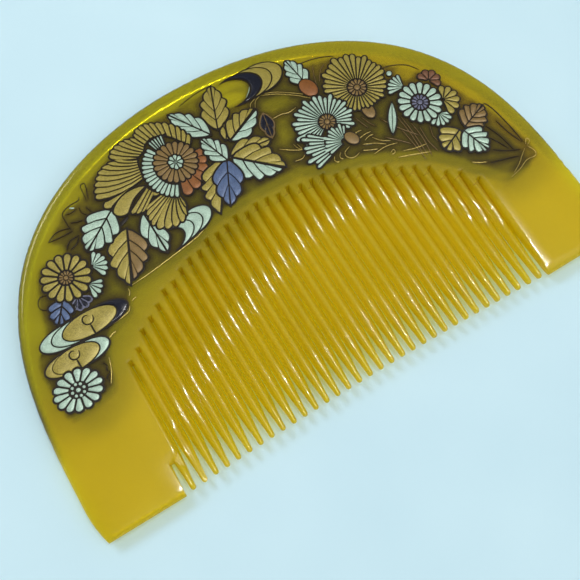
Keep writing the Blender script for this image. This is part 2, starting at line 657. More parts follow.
# Columns: node, metal, middle u and v, half width, half height, turn
OVALS = [
    ("thistle_heart", "umber", 26.1, 46.4, 1.7, 1.7, 0),
    ("chrysanthemum_heart", "umber", 17.8, 43.3, 1.5, 1.5, 0),
    ("copper_bud", "copper", 18.6, 50.9, 1.4, 1.95, 12),
    ("copper_bud_low", "umber", 19.8, 38.3, 1, 1.4, 25),
    ("copper_bud_dim", "umber", 25.3, 41.4, 1, 1.6, 0),
    ("silver_dot", "silver", 32.6, 45.8, 0.45, 0.45, 0),
]

# Thin lines by piece and material. Columns: width, then the points that the line is bent through
LINES = {
    ("contour_line", "line"): [
        (0.17, (-26.2, 34.4), (-23, 34.7), (-20, 35.1), (-16, 35.7), (-12.6, 36.3), (-9.6, 37.4)),
        (0.17, (-31.8, 30.1), (-29, 30.6), (-28.2, 31.5)),
        (0.16, (-33.7, 28.3), (-32.9, 28.7), (-32.2, 28.8)),
        (0.16, (-27.5, 32), (-27, 32.2), (-26.6, 32.2)),
        (0.16, (-27.5, 33), (-27.1, 33.5), (-27, 34.2)),
        (0.16, (-37, 21.5), (-36.2, 22.8), (-35.6, 24.2), (-35.2, 25.6)),
    ],
    ("stem_lines", "line"): [
        (0.14, (10.3, 54.2), (13, 52.9), (16, 50.7), (17.9, 48.9)),
        (0.12, (10.8, 54.3), (13.3, 53.2), (16.3, 51), (17.8, 49.7)),
        (0.12, (7.6, 52.7), (8.1, 53.6), (9.6, 54.2)),
        (0.12, (8.4, 52.5), (9.1, 53.6), (10.2, 54.1)),
        (0.13, (9.6, 48.9), (11.6, 48.9), (13, 48.5), (14.6, 48.7)),
        (0.16, (7.7, 43.2), (9.3, 42), (11.2, 40.9)),
        (0.12, (10.4, 42.7), (10.6, 41.8), (11.2, 41), (11, 42.3)),
        (0.13, (9, 39.7), (10.2, 39.5), (11.1, 39.9)),
        (0.16, (15.3, 36.9), (14.95, 36.3), (15.1, 35.8), (15.5, 35.6)),
        (0.16, (16.7, 37), (16.15, 36.5), (16.1, 36), (16.4, 35.7)),
        (0.15, (18.6, 37.2), (17.4, 36.7), (17.1, 35.9), (17.6, 35.2), (18.5, 35), (19.5, 35.3)),
        (0.15, (20.2, 35.3), (21.4, 34.7), (22.6, 34.2)),
        (0.14, (20.8, 38.8), (21.4, 38.9), (22.1, 38.8)),
        (0.14, (20.9, 37.6), (22.2, 37.8), (23.4, 37.7)),
        (0.12, (21.6, 36.8), (22.6, 37.1), (23.5, 37)),
        (0.14, (20.8, 36.3), (22.8, 35.4), (24.4, 34.2)),
        (0.12, (23, 36.6), (23.9, 35.4), (25.4, 34.4)),
        (0.14, (21.6, 33.7), (24, 33.9), (26.2, 33.4)),
        (0.13, (24.2, 32.4), (24.8, 32.7), (25, 32.3), (24.6, 32), (24.2, 32.1)),
        (0.15, (24.8, 31), (27.6, 30), (30.4, 28.9)),
        (0.13, (26.2, 31.6), (28.4, 30.9), (30.6, 30.6)),
        (0.16, (35.4, 23.6), (36.4, 22.9), (37.8, 22.2)),
    ],
    ("grass_lines", "reed"): [
        (0.17, (29, 38), (29.2, 34), (29, 29.5)),
        (0.17, (29.6, 37.4), (29.7, 33), (29.5, 28.7)),
        (0.17, (28.3, 35), (28.6, 31.5), (28.8, 28.2)),
        (0.17, (30.4, 35.4), (30.6, 32), (30.1, 28.2)),
        (0.17, (31.3, 34), (31.1, 31), (31.5, 28.5)),
        (0.15, (25, 35.4), (26.8, 33.6), (28.2, 32)),
        (0.15, (26.2, 38.9), (28.2, 35.5), (30.4, 32.6)),
        (0.13, (22.5, 41.5), (22.9, 40), (23.4, 38.6)),
        (0.13, (23.5, 41), (24, 39.5), (24.6, 38.3)),
        (0.13, (20.2, 50.6), (20.6, 52), (21.6, 54.3)),
        (0.13, (21, 51), (22.3, 52.8), (23.5, 53.6)),
        (0.13, (33, 33.2), (32.4, 31.4), (32.6, 30)),
    ],
    ("fine_lines", "outline"): [
        (0.14, (-3, 60), (0.5, 60.7), (4, 60.8)),
        (0.14, (19, 56.2), (22, 55.8), (24.5, 55), (26, 54.2)),
        (0.16, (32, 47.4), (34, 47), (36.4, 45.6), (37.7, 43.7)),
        (0.14, (39.5, 27.2), (41, 25.5), (42.5, 22.5)),
        (0.14, (41.5, 28.2), (42.6, 25), (43.2, 21.6)),
        (0.14, (40, 23.6), (42, 22.2), (44.2, 21.2)),
        (0.14, (38.2, 21.8), (41, 21), (43.2, 20.3)),
        (0.14, (-34.8, 48.4), (-33, 49.3), (-31.4, 49.2), (-30.3, 48.8)),
        (0.14, (-34.7, 48.4), (-32.6, 48.2), (-30.3, 48.2)),
        (0.13, (-32.6, 45.6), (-31.6, 46.7), (-29.6, 47)),
        (0.13, (-32, 45.3), (-30.6, 45.8), (-29.8, 46.8)),
        (0.12, (-30, 51.5), (-29, 51.3), (-27.8, 51.5)),
        (0.12, (-27.3, 51.6), (-27.4, 50.4), (-26.6, 49.4)),
        (0.12, (-29.9, 49.7), (-29, 49.3), (-27.9, 49.1)),
        (0.12, (-26.3, 51), (-26, 50), (-25.4, 49)),
        (0.8, (-26, 44.6), (-24, 44.7), (-22.4, 45.1), (-20.9, 45.7)),
        (0.13, (-38.7, 39.3), (-39.3, 40.2), (-40.3, 40.3), (-41, 39.6), (-41.1, 38.6), (-40.4, 37.9),
         (-39.4, 37.9)),
        (0.13, (-44.6, 31.3), (-43.4, 31.6), (-42.2, 31.1), (-41.1, 30.4)),
        (0.13, (-36.6, 25.3), (-36.1, 24.6), (-36.5, 23.9), (-36.2, 23.3), (-37, 22.8), (-36.9, 22.1)),
    ],
    ("twig_line", "outline"): [
        (0.2, (43.3, 31.5), (43.9, 31.8), (44.6, 30), (45.2, 26), (45.5, 22.2)),
        (0.16, (43.7, 28), (44.3, 25), (45.3, 22.2)),
    ],
    ("twig_line", "line"): [
        (0.16, (45.6, 21.2), (46.2, 19.8), (45.8, 18.9), (44, 19), (42, 18.2), (39.8, 17.7)),
        (0.14, (45, 21), (43.6, 20), (42.6, 19.2), (40.6, 18.1)),
        (0.14, (45.6, 21.6), (46.3, 22.4), (46.6, 21.8), (45.8, 21.3)),
    ],
    ("left_sprig_line", "outline"): [
        (0.16, (-30.4, 48.6), (-30.5, 50.4), (-30.3, 52), (-28.6, 52.7), (-26.9, 52.8), (-26.5, 53.3)),
        (0.15, (-25.6, 52), (-25.4, 54.8), (-24.9, 55.3), (-24.5, 54.9), (-25.2, 52.3)),
    ],
    ("silver_bits", "silver"): [
        (0.12, (8, 59.75), (9.9, 58.6), (10.05, 57.4), (9.2, 56.1), (7.8, 54.9)),
        (0.3, (-28.8, 52.3), (-28.4, 52), (-28.1, 51.9)),
        (0.3, (-41.3, 30.6), (-40.3, 30.6), (-39.4, 30.7)),
    ],
}

# Share of these widths that is drawn
LINE_SHARE = 0.85

# The outline of the band that the dark wash fills between the motifs
BAND = [
    (-46, 19.4), (-37, 20.4), (-35, 25), (-33.5, 28), (-31.5, 29.6), (-28, 31), (-26, 34), (-20, 34.6),
    (-12.6, 35.9), (-8, 37.6), (0, 38), (9, 37.6), (14, 35.4), (19, 34.2), (25, 31.4), (31, 27.8),
    (36, 22), (40, 17.8), (46, 18.2), (46.8, 22), (45.4, 28), (43.8, 32.2), (41.4, 38), (38.6, 43),
    (34.2, 47.4), (30, 51.2), (26, 54.4), (19, 56.4), (16.6, 58.8), (8, 60.7), (-3, 60.4), (-12, 60.3),
    (-18.6, 58), (-24.4, 55.4), (-26.6, 53.3), (-30.6, 52.3), (-35, 48.4), (-33.6, 46), (-38.6, 45.2),
    (-41.6, 39), (-43.2, 33.4), (-46.2, 30),
]
# Strength of the wash in it and the width of its soft border
BAND_WASH = 0.52
BAND_SOFT = 1.0
# Clearer places in it. Columns: middle u and v, half width and height, share of the wash that is left
CLEARINGS = [
    (5.6, 57.4, 4.4, 2.9, 0.08),
    (35.4, 44.6, 2.3, 1.7, 0.5),
    (12, 51.4, 3.2, 1.4, 0.6),
    (10.6, 45.8, 1.6, 2.4, 0.7),
]
# Strength of the wash outside it, close to a motif
OUTER_WASH = 0.3
# Strength and width of the dark line along the rim
RIM_WASH = 1.0
RIM_LINE_W = 0.85
# Distances from the ornament at which the dark wash begins to fade and ends
WASH_FULL = 0.1
WASH_REACH = 1.5
# Reach and strength of its faint outer part
FAINT_REACH = 6
FAINT_WASH = 0.2
# A distance that counts as far away
FAR = 99.0
# The rim's dark line begins at this height and is full this much higher
RIM_LINE_H = 14
RIM_LINE_RISE = 8
# The greener part of the plastic is full this far above UPPER_H and this far above the roots,
# and it ends at this u
OLIVE_RISE = 22
OLIVE_ROOT_RISE = 6
OLIVE_END = 34

# The motifs in the order in which they are laid over each other
ORDER = [
    "silver_half_flower_right", "silver_fan_right", "copper_flower_right",
    "gold_half_flower_right", "silver_daisy_right",
    "copper_leaf_right_end", "gold_leaf_right_end", "silver_leaf_right_end",
    "silver_dagger_leaf", "silver_bud", "copper_bud", "copper_bud_dim", "silver_dot",
    "gold_thistle", "thistle_heart", "silver_chrysanthemum", "chrysanthemum_heart",
    "silver_fan_flower", "copper_bud_low",
    "gold_scales", "black_moon", "gold_leaf_top", "silver_leaf_top",
    "gold_sprig_mid", "silver_half_leaf_mid", "gold_half_leaf_mid", "black_leaf_mid",
    "silver_wave", "silver_veined_leaf", "copper_half_leaf_left", "gold_half_leaf_left",
    "silver_leaf_left", "peony_gold_petals", "peony_copper_lobes", "peony_silver_petals",
    "peony_copper_ring", "peony_heart",
    "gold_leaf_right", "gold_half_leaf_right", "silver_half_leaf_right",
    "gold_half_leaf_low", "blue_leaf_mid", "silver_leaf_mid",
    "black_fan_left", "silver_fan_left_low", "silver_fan_left_high", "blue_leaf_left",
    "gold_daisy_left", "upper_swirl_shade", "upper_swirl_scales", "upper_swirl",
    "lower_swirl_scale", "lower_swirl", "silver_daisy_left",
]


# Share of a leaf's midrib that carries veins, and how far a vein runs forward on its way out
LEAF_VEINED = 0.85
LEAF_SLANT = 0.27
# How far forward a leaf is widest (1 is its middle), and how pointed its outline is (1 is a sine curve)
LEAF_LEAN = 0.85
LEAF_POINTED = 0.75
# A lobe's ends as a share of the leaf's outline, its rise from there, how far forward its top leans
# (1 is even), and the number of steps round it
LOBE_LOW = 0.84
LOBE_RISE = 0.25
LOBE_LEAN = 1.7
LOBE_STEPS = 8
# Place of a vein's middle point on its way out (0.5 is straight)
VEIN_MIDDLE = 0.48
# Width of the dark veins as a share of their width in the tables, and the width of a swirl's veins
VEIN_SHARE = 1.2
SWIRL_VEIN = 0.24
# The curl on a swirl's disc: its first angle, its steps and their number
CURL_START = -300
CURL_STEP = 15
CURL_STEPS = 21
# A petal's end takes up this share of its length, or this share of its half width where that is less.
# Its foot keeps this share of the width that it would have without veins, and its sides widen by this
# power of the way along (1 is evenly)
END_SHARE = 0.3
END_WIDE_SHARE = 1.1
FOOT_SHARE = 0.3
WIDENING = 0.6


def polar(fan, radius, a):
    """A point at a radius and an angle of a fan, whose height is squashed."""
    u, v, squash = fan[2:5]
    return (u + radius * cosine(a), v + squash * radius * sine(a))


def angle_of(length, radius):
    return math.degrees(math.asin(min(1, length / max(radius, 1e-6))))


def is_round(fan):
    first, last = fan[5:7]
    return last - first >= 360


def fan_plate(fan, grow):
    first, last, _, foot, _, _, vein = fan[5:]
    petals = [grown(petal, grow + vein / 2) for petal in fan_relief(fan)]
    inner, innermost = foot + 2 * vein + grow, max(foot - grow, 0.02)
    if is_round(fan):
        return petals + [[polar(fan, inner, a) for a in range(0, 360, 15)]]
    span = [first + (last - first) * t / 12 for t in range(13)]
    return petals + [[polar(fan, inner, a) for a in span] + [polar(fan, innermost, a) for a in span[::-1]]]


def fan_relief(fan):
    """The petals of a fan, each narrowing to its foot and rounded at its tip."""
    name, _, u, _, _, first, last, count, foot, first_tip, last_tip, vein = fan
    vein *= VEIN_SHARE
    step = (last - first) / count
    petals = []
    for i in range(count):
        a = first + (i + 0.5) * step
        tip = first_tip + (last_tip - first_tip) * (i + 0.5) / count
        tip *= 1 + RAGGED.get(name, 0) * math.sin(2.4 * i + u)
        shoulder = tip - min((tip - foot) * END_SHARE, step / 2 * math.pi / 180 * tip * END_WIDE_SHARE)
        wide = step / 2 - angle_of(vein / 2, shoulder)
        narrow = max(step / 2 - angle_of(vein / 2, foot), step / 2 * FOOT_SHARE)
        left, right = (
            [polar(fan, foot + (shoulder - foot) * t,
                   a + side * narrow + side * (wide - narrow) * t**WIDENING) for t in (0, 0.25, 0.5, 0.75)]
            for side in (1, -1))
        end = [polar(fan, shoulder + (tip - shoulder) * cosine(t), a + wide * sine(t))
               for t in range(90, -91, -20)]
        petals.append(left + end + right[::-1])
    return petals


def stamens(u, v, radius, count):
    """The heart of a flower: short wedges round a button."""
    shapes = [around(u, v, radius * 0.3, radius * 0.3, 30)]
    wide = 360 / count * 0.33
    for k in range(count):
        a = 360 * (k + 0.5) / count
        corners = [(radius * reach, a + side * wide)
                   for reach, side in ((0.42, 0.9), (0.42, -0.9), (0.88, -1), (0.98, 0), (0.88, 1))]
        shapes.append([(u + reach * cosine(b), v + reach * sine(b)) for reach, b in corners])
    return shapes


def beads(u, v, radius, count):
    """The heart of a flower: a ring of dots round a larger one."""
    shapes = [around(u, v, radius * 0.22, radius * 0.2, 30)]
    for k in range(count):
        a = 360 * k / count
        middle = (u + radius * 0.6 * cosine(a), v + radius * 0.6 * sine(a))
        shapes.append(around(*middle, radius * 0.15, radius * 0.15, 40))
    return shapes


def leaf_l(leaf):
    u, v, tip_u, tip_v = leaf[2:6]
    return math.hypot(tip_u - u, tip_v - v)


def leaf_half(leaf, s):
    """Half the width of a leaf at a share of its length."""
    return leaf[6] / 2 * max(0, sine(180 * min(1, max(0, s)) ** LEAF_LEAN)) ** LEAF_POINTED


def leaf_point(leaf, s, out):
    """The point at a share of a leaf's length and a distance to the left of its midrib."""
    u, v, tip_u, tip_v = leaf[2:6]
    long = leaf_l(leaf)
    return (u + s * (tip_u - u) - out * (tip_v - v) / long, v + s * (tip_v - v) + out * (tip_u - u) / long)


def vein_middle(leaf, start, end, gap, side):
    """The middle of one edge of a vein, which bends between the midrib and the leaf's outline."""
    return leaf_point(leaf, start + gap + (end - start) * VEIN_MIDDLE, side * leaf_half(leaf, end) * 0.5)


def leaf_plate(leaf, grow):
    return [grown(lobe, grow + leaf[9] * VEIN_SHARE / 2) for lobe in leaf_relief(leaf)]


def leaf_relief(leaf):
    """The lobes of a leaf between its slanted, slightly bent veins."""
    count, only, vein = leaf[7:]
    vein *= VEIN_SHARE
    gap = vein / 2 / leaf_l(leaf)
    lobes = []
    for side in (only,) if only else (-1, 1):
        for k in range(count):
            low, high = k / count * LEAF_VEINED, (k + 1) / count * LEAF_VEINED
            out_low = 0.03 if k == 0 else min(low + LEAF_SLANT, 0.9)
            out_high = 1 if k == count - 1 else min(high + LEAF_SLANT, 0.95)
            points = [leaf_point(leaf, low + gap, side * vein / 2)]
            if k > 0:
                points.append(vein_middle(leaf, low, out_low, gap, side))
            for t in range(LOBE_STEPS + 1):
                s = out_low + gap + (out_high - out_low - 2 * gap) * t / LOBE_STEPS
                rise = LOBE_RISE * sine(180 * (t / LOBE_STEPS) ** LOBE_LEAN) ** 0.7
                out = leaf_half(leaf, s) * (LOBE_LOW + rise)
                points.append(leaf_point(leaf, s, side * max(vein / 2, out)))
            if k < count - 1:
                points.append(vein_middle(leaf, high, out_high, -gap, side))
            lobes.append(points + [leaf_point(leaf, high - gap, side * vein / 2)])
    return lobes


def turned(row, points):
    """Points given from the middle of a swirl or an oval, after its turn."""
    u, v, _, _, turn = row[2:7]
    c, s = cosine(turn), sine(turn)
    return [(u + x * c - y * s, v + x * s + y * c) for x, y in points]


def scale_oval(swirl, k, grow):
    half_u, half_v, _, step = swirl[4:8]
    return turned(swirl, around(k * step, 0, half_u + grow, half_v + grow, 6))


def ribbon(points, width):
    """A strip along a line that narrows at its two ends."""
    left, right = [], []
    count = len(points)
    for i, p in enumerate(points):
        a, b = points[max(i - 1, 0)], points[min(i + 1, count - 1)]
        long = math.hypot(b[0] - a[0], b[1] - a[1]) or 1
        half = width / 2 * min(1, 0.35 + 1.3 * math.sin(math.pi * i / (count - 1)))
        side = (-(b[1] - a[1]) / long * half, (b[0] - a[0]) / long * half)
        left.append((p[0] + side[0], p[1] + side[1]))
        right.append((p[0] - side[0], p[1] - side[1]))
    return left + right[::-1]


def bent(points, steps=5):
    """A smooth line through a list of points."""
    if len(points) == 2:
        a, b = points
        return [(a[0] + (b[0] - a[0]) * t / steps, a[1] + (b[1] - a[1]) * t / steps)
                for t in range(steps + 1)]
    line = []
    for i in range(len(points) - 1):
        a, b = points[max(i - 1, 0)], points[i]
        c, d = points[i + 1], points[min(i + 2, len(points) - 1)]
        for k in range(steps):
            t = k / steps
            line.append(tuple(
                (2 * b[n] + (c[n] - a[n]) * t
                 + (2 * a[n] - 5 * b[n] + 4 * c[n] - d[n]) * t * t
                 + (3 * b[n] - a[n] - 3 * c[n] + d[n]) * t**3) / 2
                for n in (0, 1)))
    return line + [points[-1]]


def grown(points, by):
    """A closed outline moved outwards, or inwards if negative, without the points that fold over."""
    points = ccw(list(points))
    if by == 0:
        return points
    moved = []
    for p, q, r in zip(points[-1:] + points[:-1], points, points[1:] + points[:1]):
        a = Vector((q[1] - p[1], p[0] - q[0])).normalized()
        b = Vector((r[1] - q[1], q[0] - r[0])).normalized()
        out = (a + b).normalized() if (a + b).length > 0.2 else a
        out *= by / max(out.dot(a), 0.5)
        moved.append((q[0] + out.x, q[1] + out.y))
    gaps = distance(np.array(moved), [closed(points)])
    return [p for p, gap in zip(moved, gaps) if gap > 0.9 * abs(by)]


def along(line, share):
    """The point at a share of the length of a line."""
    lengths = [math.dist(p, q) for p, q in zip(line, line[1:])]
    left = share * sum(lengths)
    for p, q, long in zip(line, line[1:], lengths):
        if left <= long:
            return (p[0] + (q[0] - p[0]) * left / long, p[1] + (q[1] - p[1]) * left / long)
        left -= long
    return line[-1]


def bowed(foot, tip, bow):
    """Points between a foot and a tip on a line that bows to the left."""
    x, y = tip[0] - foot[0], tip[1] - foot[1]
    found = []
    for t in (0.25, 0.5, 0.75):
        side = 4 * bow * t * (1 - t)
        found.append((foot[0] + x * t - y * side, foot[1] + y * t + x * side))
    return found


def blades(row):
    """The petals between a line of feet and a line of tips, each with a rounded end."""
    tips, feet, count, _, bow = row[2:]
    tips = bent(tips, 8)
    shapes = []
    for i in range(count):
        f0, f1 = along(feet, i / count), along(feet, (i + 1) / count)
        t0, t1 = along(tips, i / count), along(tips, (i + 1) / count)
        wide = math.dist(t0, t1)
        way = Vector([(t0[n] + t1[n] - f0[n] - f1[n]) / 2 for n in (0, 1)]).normalized()
        end = []
        for t in (k / 8 for k in range(9)):
            rise = wide * (0.5 * sine(180 * t) ** 0.7 - 0.42)
            end.append(tuple(t0[n] + (t1[n] - t0[n]) * t + way[n] * rise for n in (0, 1)))
        shapes.append([f0] + bowed(f0, t0, bow) + end + bowed(f1, t1, bow)[::-1] + [f1])
    return shapes


def free(row):
    """A single petal with a smooth outline."""
    points = row[2]
    return bent(points + points[:1], 6)[:-1]


def swirl_parts(swirl, grow):
    """(shapes, cuts) of a swirl's plate."""
    first, last = swirl[8:]
    cuts = [scale_oval(swirl, first - 1, -grow)] if first > 0 else []
    if last < 0:
        cuts.append(scale_oval(swirl, last + 1, -grow))
    return [scale_oval(swirl, k, grow) for k in range(first, last + 1)], cuts


def swirl_relief(swirl):
    """List of (shape, cuts), one for each scale. The disc has a curl and its stem cut into it."""
    u, v, _, half_v = swirl[2:6]
    first, last = swirl[8:]
    parts = []
    for k in range(first, last + 1):
        if k == 0:
            size = half_v * 0.5
            curl_v = v + half_v * 0.4
            curl = []
            for turn in range(CURL_STEPS + 1):
                a = CURL_START + CURL_STEP * turn
                tight = size * (1 - 0.5 * ((CURL_STEPS - turn) / CURL_STEPS) ** 4)
                curl.append((u + tight * cosine(a), curl_v + tight * sine(a)))
            stem = [(u, curl_v - size + 0.05), (u + 0.04, curl_v - half_v * 1.7)]
            cuts = [ribbon(curl, SWIRL_VEIN), ribbon(bent(stem), SWIRL_VEIN * 1.2)]
            parts.append((scale_oval(swirl, 0, 0), cuts))
        else:
            nearer = k - 1 if k > 0 else k + 1
            cuts = [scale_oval(swirl, nearer, SWIRL_VEIN / 2)]
            parts.append((scale_oval(swirl, k, -SWIRL_VEIN / 2), cuts))
    return parts


def oval(row, grow):
    half_u, half_v = row[4:6]
    return turned(row, around(0, 0, half_u + grow, half_v + grow, 12))


KINDS = {"fan": FANS, "leaf": LEAVES, "swirl": SWIRLS, "oval": OVALS, "blades": BLADES, "free": FREE}


def rows_of(name):
    return [(kind, row) for kind, rows in KINDS.items() for row in rows if row[0] == name]


def plates(name, grow):
    """(shapes, cuts) of a motif's plate."""
    shapes, cuts = [], []
    for kind, row in rows_of(name):
        if kind == "fan":
            shapes += fan_plate(row, grow)
        elif kind == "leaf":
            shapes += leaf_plate(row, grow)
        elif kind == "oval":
            shapes.append(oval(row, grow))
        elif kind == "blades":
            shapes += [grown(s, grow) for s in blades(row)]
        elif kind == "free":
            shapes.append(grown(free(row), grow))
        else:
            more, less = swirl_parts(row, grow)
            shapes += more
            cuts += less
    return shapes, cuts


def reliefs(name):
    """List of (shapes, cuts, material's place) of a motif's metal."""
    found = []
    for kind, row in rows_of(name):
        if kind == "fan":
            found.append((fan_relief(row), [], 1))
            u, v, foot, vein = row[2], row[3], row[8], row[11]
            if name in HEARTS:
                found.append((stamens(u, v, foot - vein, 12), [], 2))
            elif is_round(row) and name != "peony_copper_ring":
                found.append((beads(u, v, foot, 8), [], 1))
        elif kind == "leaf":
            found.append((leaf_relief(row), [], 1))
        elif kind == "oval" and name.endswith("_heart"):
            found.append((stamens(*row[2:5], 13), [], 1))
        elif kind == "oval":
            found.append(([oval(row, 0)], [], 1))
        elif kind == "blades":
            found.append(([grown(s, -row[5] / 2) for s in blades(row)], [], 1))
        elif kind == "free":
            found.append(([grown(free(row), -row[3] / 2)], [], 1))
        else:
            found += [([shape], cuts, 1) for shape, cuts in swirl_relief(row)]
    return found


def box_of(shapes):
    points = np.array([p for s in shapes for p in s])
    return points.min(0), points.max(0)


def clip(shapes, cuts):
    """Flat faces that cover the shapes and leave the cuts out, as lists of points."""
    low, high = box_of(shapes)
    near = []
    for cut in cuts:
        cut_low, cut_high = box_of([cut])
        if (cut_low < high).all() and (cut_high > low).all():
            near.append(cut)
    flat, faces, owners = cut_up([ccw(list(s)) for s in shapes + near], [], FACES)
    return [[flat[k] for k in face] for face, own in zip(faces, owners) if own and max(own) < len(shapes)]


def corner(p):
    """A point's place, rounded so that points that lie together are one."""
    return (round(p[0], 4), round(p[1], 4))


def merged(shapes, cuts):
    """The outer and inner edges of the shapes laid together, as closed loops."""
    after = {}
    for face in clip(shapes, cuts):
        keys = [corner(p) for p in face]
        for a, b in zip(keys, keys[1:] + keys[:1]):
            if b in after and a in after[b]:
                after[b].remove(a)
            elif a != b:
                after.setdefault(a, []).append(b)
    loops = []
    for start in list(after):
        while after.get(start):
            loop, at = [start], after[start].pop()
            while at != start and after.get(at):
                loop.append(at)
                at = after[at].pop()
            if len(loop) > 2:
                loops.append(loop)
    return loops


class Piece:
    """Closed solids gathered into one mesh, in millimetres above the comb's face."""

    def __init__(self):
        self.verts, self.polys, self.slots = [], [], []

    def add(self, faces, low, high, rounding, slot):
        """Raises flat faces to a solid between two heights, with a rounded upper edge."""
        bm = bmesh.new()
        corners = {}
        for face in faces:
            verts = []
            for p in face:
                if corner(p) not in corners:
                    corners[corner(p)] = bm.verts.new((p[0], p[1], low))
                if corners[corner(p)] not in verts:
                    verts.append(corners[corner(p)])
            if len(verts) > 2 and not bm.faces.get(verts):
                bm.faces.new(verts)
        bmesh.ops.dissolve_limit(bm, angle_limit=0.01, use_dissolve_boundaries=False,
                                 verts=bm.verts[:], edges=bm.edges[:])
        bm.normal_update()
        made = bmesh.ops.extrude_face_region(bm, geom=bm.faces[:], use_keep_orig=True)["geom"]
        tops = [g for g in made if isinstance(g, bmesh.types.BMFace) and all(v in made for v in g.verts)]
        for v in {v for f in tops for v in f.verts}:
            v.co.z = high - sum(rise for _, rise in rounding)
        bm.normal_update()
        for reach, rise in rounding:
            bmesh.ops.inset_region(bm, faces=tops, thickness=reach, depth=rise,
                                   use_boundary=True, use_even_offset=False)
        bmesh.ops.recalc_face_normals(bm, faces=bm.faces[:])
        start = len(self.verts)
        bm.verts.index_update()
        self.verts += [tuple(v.co) for v in bm.verts]
        self.polys += [tuple(start + v.index for v in f.verts) for f in bm.faces]
        self.slots += [slot] * len(bm.faces)
        bm.free()

    def finish(self, name, materials):
        """The piece as an object on the comb's face."""
        z = [float(front_z(v)) for _, v, _ in self.verts]
        obj = finish_mesh(name, [(u, v, w + h) for (u, v, w), h in zip(self.verts, z)], self.polys)
        for material in materials:
            obj.data.materials.append(material)
        obj.data.polygons.foreach_set("material_index", self.slots)
        obj.data.shade_smooth()
        obj.data.set_sharp_from_angle(angle=math.radians(LACQUER_SHARP))
        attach(obj, "root")
        return obj


# Materials

def srgb(*colour):
    """Linear colour of an sRGB colour given from 0 to 255."""
    shares = [c / 255 for c in colour]
    return (*(c / 12.92 if c <= 0.04045 else ((c + 0.055) / 1.055) ** 2.4 for c in shares), 1)


def grey(x):
    return (x, x, x, 1)


class Nodes:
    """Short calls for building a material's nodes. A value is a constant or another node's socket."""

    # Factor, two colours and result of a Mix node, whose sockets for other kinds have the same names
    MIX_INPUTS = (0, 6, 7)
    MIX_OUTPUT = 2

    def __init__(self, name):
        self.material = bpy.data.materials.new(name)
        self.material.use_nodes = True
        self.tree = self.material.node_tree
        self.shader = self.tree.nodes["Principled BSDF"]

    def put(self, value, socket):
        if isinstance(value, bpy.types.NodeSocket):
            self.tree.links.new(value, socket)
        else:
            socket.default_value = value

    def add(self, kind, **values):
        node = self.tree.nodes.new(kind)
        for key, value in values.items():
            if key in node.inputs:
                self.put(value, node.inputs[key])
            else:
                setattr(node, key, value)
        return node

    def set(self, **values):
        for key, value in values.items():
            self.put(value, self.shader.inputs[key.replace("_", " ")])

    def attribute(self, name):
        return self.add("ShaderNodeAttribute", attribute_name=name).outputs["Fac"]

    def noise(self, scale, detail, stretch=(1, 1, 1), roughness=0.6):
        place = self.add("ShaderNodeTexCoord").outputs["Object"]
        place = self.add("ShaderNodeMapping", Scale=stretch, Vector=place).outputs["Vector"]
        node = self.add("ShaderNodeTexNoise", Scale=scale, Detail=detail, Roughness=roughness, Vector=place)
        return node.outputs["Fac"]

    def ramp(self, value, *stops):
        """The colour at a value, between the two colours and places of the stops."""
        node = self.add("ShaderNodeValToRGB", Fac=value)
        for stop, (place, colour) in zip(node.color_ramp.elements, stops):
            stop.position = place
            stop.color = colour
        return node.outputs["Color"]

    def mix(self, factor, a, b, blend="MIX"):
        node = self.add("ShaderNodeMix", data_type="RGBA", blend_type=blend)
        for value, place in zip((factor, a, b), self.MIX_INPUTS):
            self.put(value, node.inputs[place])
        return node.outputs[self.MIX_OUTPUT]

    def bump(self, height, distance, strength):
        node = self.add("ShaderNodeBump", Distance=distance, Strength=strength, Height=height)
        self.set(Normal=node.outputs["Normal"], Coat_Normal=node.outputs["Normal"])


def powder(name, dark, light, metallic, roughness, gloss):
    """Sprinkled metal powder under lacquer."""
    n = Nodes(name)
    grain = n.noise(9000, 2)
    cloud = n.noise(700, 4)
    base = n.mix(n.ramp(grain, (0.35, grey(0)), (0.68, grey(1))), srgb(*dark), srgb(*light))
    tint = n.ramp(cloud, (0.3, grey(0.86)), (0.7, grey(1.06)))
    n.set(Base_Color=n.mix(1.0, base, tint, "MULTIPLY"), Metallic=metallic, Roughness=roughness,
          Specular_IOR_Level=gloss)
    n.bump(grain, 0.00003, 0.7)
    return n.material


# Columns: name, dark colour, light colour, metallic, roughness, gloss
POWDERS = {
    "gold": ("gold_powder", (118, 103, 32), (180, 163, 72), 0.12, 0.42, 0.25),
    "silver": ("silver_powder", (138, 162, 140), (194, 217, 197), 0.1, 0.42, 0.25),
    "copper": ("copper_powder", (106, 62, 14), (150, 88, 26), 0.15, 0.42, 0.3),
    "umber": ("umber_powder", (98, 76, 30), (142, 110, 50), 0.12, 0.45, 0.3),
    "blue": ("blue_lacquer", (54, 70, 104), (92, 112, 146), 0.12, 0.4, 0.3),
    "black": ("black_lacquer", (12, 13, 24), (26, 28, 44), 0.0, 0.2, 0.3),
    "rust": ("rust_powder", (84, 51, 24), (128, 80, 44), 0.12, 0.45, 0.3),
    "dusk": ("dusk_powder", (72, 74, 92), (112, 112, 136), 0.12, 0.42, 0.3),
    "reed": ("reed_line", (74, 56, 24), (124, 98, 52), 0.3, 0.4, 0.3),
    "line": ("gold_line", (108, 88, 28), (190, 168, 80), 0.35, 0.38, 0.3),
    "outline": ("outline_lacquer", (20, 13, 4), (38, 27, 9), 0.0, 0.5, 0.12),
}


# Share of the amber's looks that is clear depth
CLEAR_SHARE = 0.7


